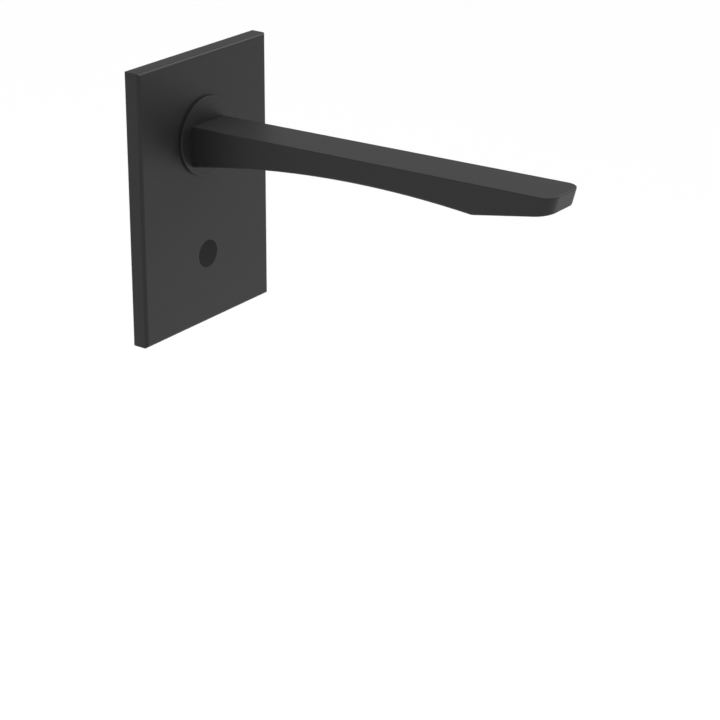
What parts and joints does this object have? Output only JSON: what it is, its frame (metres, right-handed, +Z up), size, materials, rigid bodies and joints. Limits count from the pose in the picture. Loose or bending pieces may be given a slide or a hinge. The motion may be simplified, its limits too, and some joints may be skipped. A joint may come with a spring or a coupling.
{
  "type": "touch-free wall-mounted basin tap",
  "caption": "Touch-free wall basin tap: flat rectangular cover plate, round collar, long slim spout with arched underside and slanted outlet, sensor window below.",
  "frame": {"origin": "on the wall plane, on the axis of the round collar and at the middle of the four upper wall screws", "axes": "+X along the cover plate, -Y out of the wall towards the user, +Z up"},
  "size_m": [0.12, 0.3114, 0.174],
  "materials": {
    "black_coat": "satin black powder coat, fine grain",
    "window_plastic": "infrared-clear dark plastic, polished",
    "dark_plastic": "moulded glass-filled plastic",
    "grey_plastic": "moulded acetal",
    "white_plastic": "moulded acetal, natural",
    "clear_plastic": "moulded clear epoxy",
    "board_green": "solder-masked glass fibre board",
    "battery_wrap": "shrink-wrapped cell pack, plain",
    "brass_cast": "cast and machined brass, dull",
    "steel_zinc": "zinc-plated steel sheet",
    "steel_bright": "turned stainless steel",
    "spring_steel": "drawn stainless wire",
    "seal_rubber": "moulded nitrile rubber",
    "foam_rubber": "closed-cell foam",
    "hose_plastic": "cross-linked polyethylene tube",
    "cable_sheath": "flexible cable sheath",
    "coil_resin": "potted coil"
  },
  "bodies": {
    "fixed_tap": {"cover_plate": "black_coat", "spout_collar": "black_coat", "spout_body": "black_coat", "collar_seal": "seal_rubber", "spout_water_tube": "hose_plastic", "spout_nipple": "brass_cast", "nipple_o_rings": "seal_rubber", "spout_lock_nut": "brass_cast", "aerator_cartridge": "grey_plastic", "aerator_seal": "seal_rubber", "aerator_strainer": "white_plastic", "sensor_window": "window_plastic", "window_seal": "seal_rubber", "sensor_housing": "dark_plastic", "sensor_rear_cover": "dark_plastic", "sensor_board": "board_green", "infrared_emitter": "clear_plastic", "infrared_receiver": "window_plastic", "light_baffle": "dark_plastic", "sensor_screws": "steel_bright", "mounting_carrier": "steel_zinc", "wall_gasket": "foam_rubber", "wall_screws": "steel_zinc", "plate_grub_screws": "steel_bright", "valve_block": "brass_cast", "valve_screws": "steel_bright", "stop_ring_nut": "brass_cast", "valve_bonnet": "brass_cast", "solenoid_coil": "coil_resin", "coil_yoke": "steel_zinc", "coil_nut": "steel_bright", "coil_connector": "dark_plastic", "core_stop": "steel_bright", "plunger_spring": "spring_steel", "check_guide": "white_plastic", "check_seat": "grey_plastic", "check_spring": "spring_steel", "inlet_screen": "steel_bright", "battery_case": "dark_plastic", "battery_cap": "dark_plastic", "battery_pack": "battery_wrap", "valve_cable": "cable_sheath", "battery_cable": "cable_sheath"},
    "nozzle": {"aerator_ball": "dark_plastic", "stream_grid": "grey_plastic", "flow_regulator": "white_plastic"},
    "pilot_plunger": {"plunger": "steel_bright", "plunger_tip": "seal_rubber"},
    "main_piston": {"servo_piston": "white_plastic", "piston_seal": "seal_rubber"},
    "stop_valve": {"stop_plug": "brass_cast", "stop_plug_seals": "seal_rubber"},
    "non_return_valve": {"check_poppet": "grey_plastic"}
  },
  "joints": [
    {"name": "nozzle_tilt", "type": "hinge", "parent": "fixed_tap", "child": "nozzle", "pos_m": [0, -0.23936, 0.0043], "axis": [1, 0, 0], "range_deg": [-8, 8]},
    {"name": "plunger_lift", "type": "slide", "parent": "fixed_tap", "child": "pilot_plunger", "axis": [0, -1, 0], "range_m": [0, 0.0024], "stiffness_N_per_m": 60, "springref_m": -0.004, "deforming": ["plunger_spring"]},
    {"name": "piston_lift", "type": "slide", "parent": "fixed_tap", "child": "main_piston", "axis": [0, -1, 0], "range_m": [0, 0.002]},
    {"name": "stop_turn", "type": "hinge", "parent": "fixed_tap", "child": "stop_valve", "pos_m": [0, 0.0125, -0.0225], "axis": [0, -1, 0], "range_deg": [0, 90]},
    {"name": "non_return_lift", "type": "slide", "parent": "fixed_tap", "child": "non_return_valve", "axis": [0, -1, 0], "range_m": [0, 0.0018], "stiffness_N_per_m": 40, "springref_m": -0.002, "deforming": ["check_spring"]}
  ],
  "couplings": [
    {"joint": "piston_lift", "follows": "plunger_lift", "ratio": 0.83333}
  ]
}
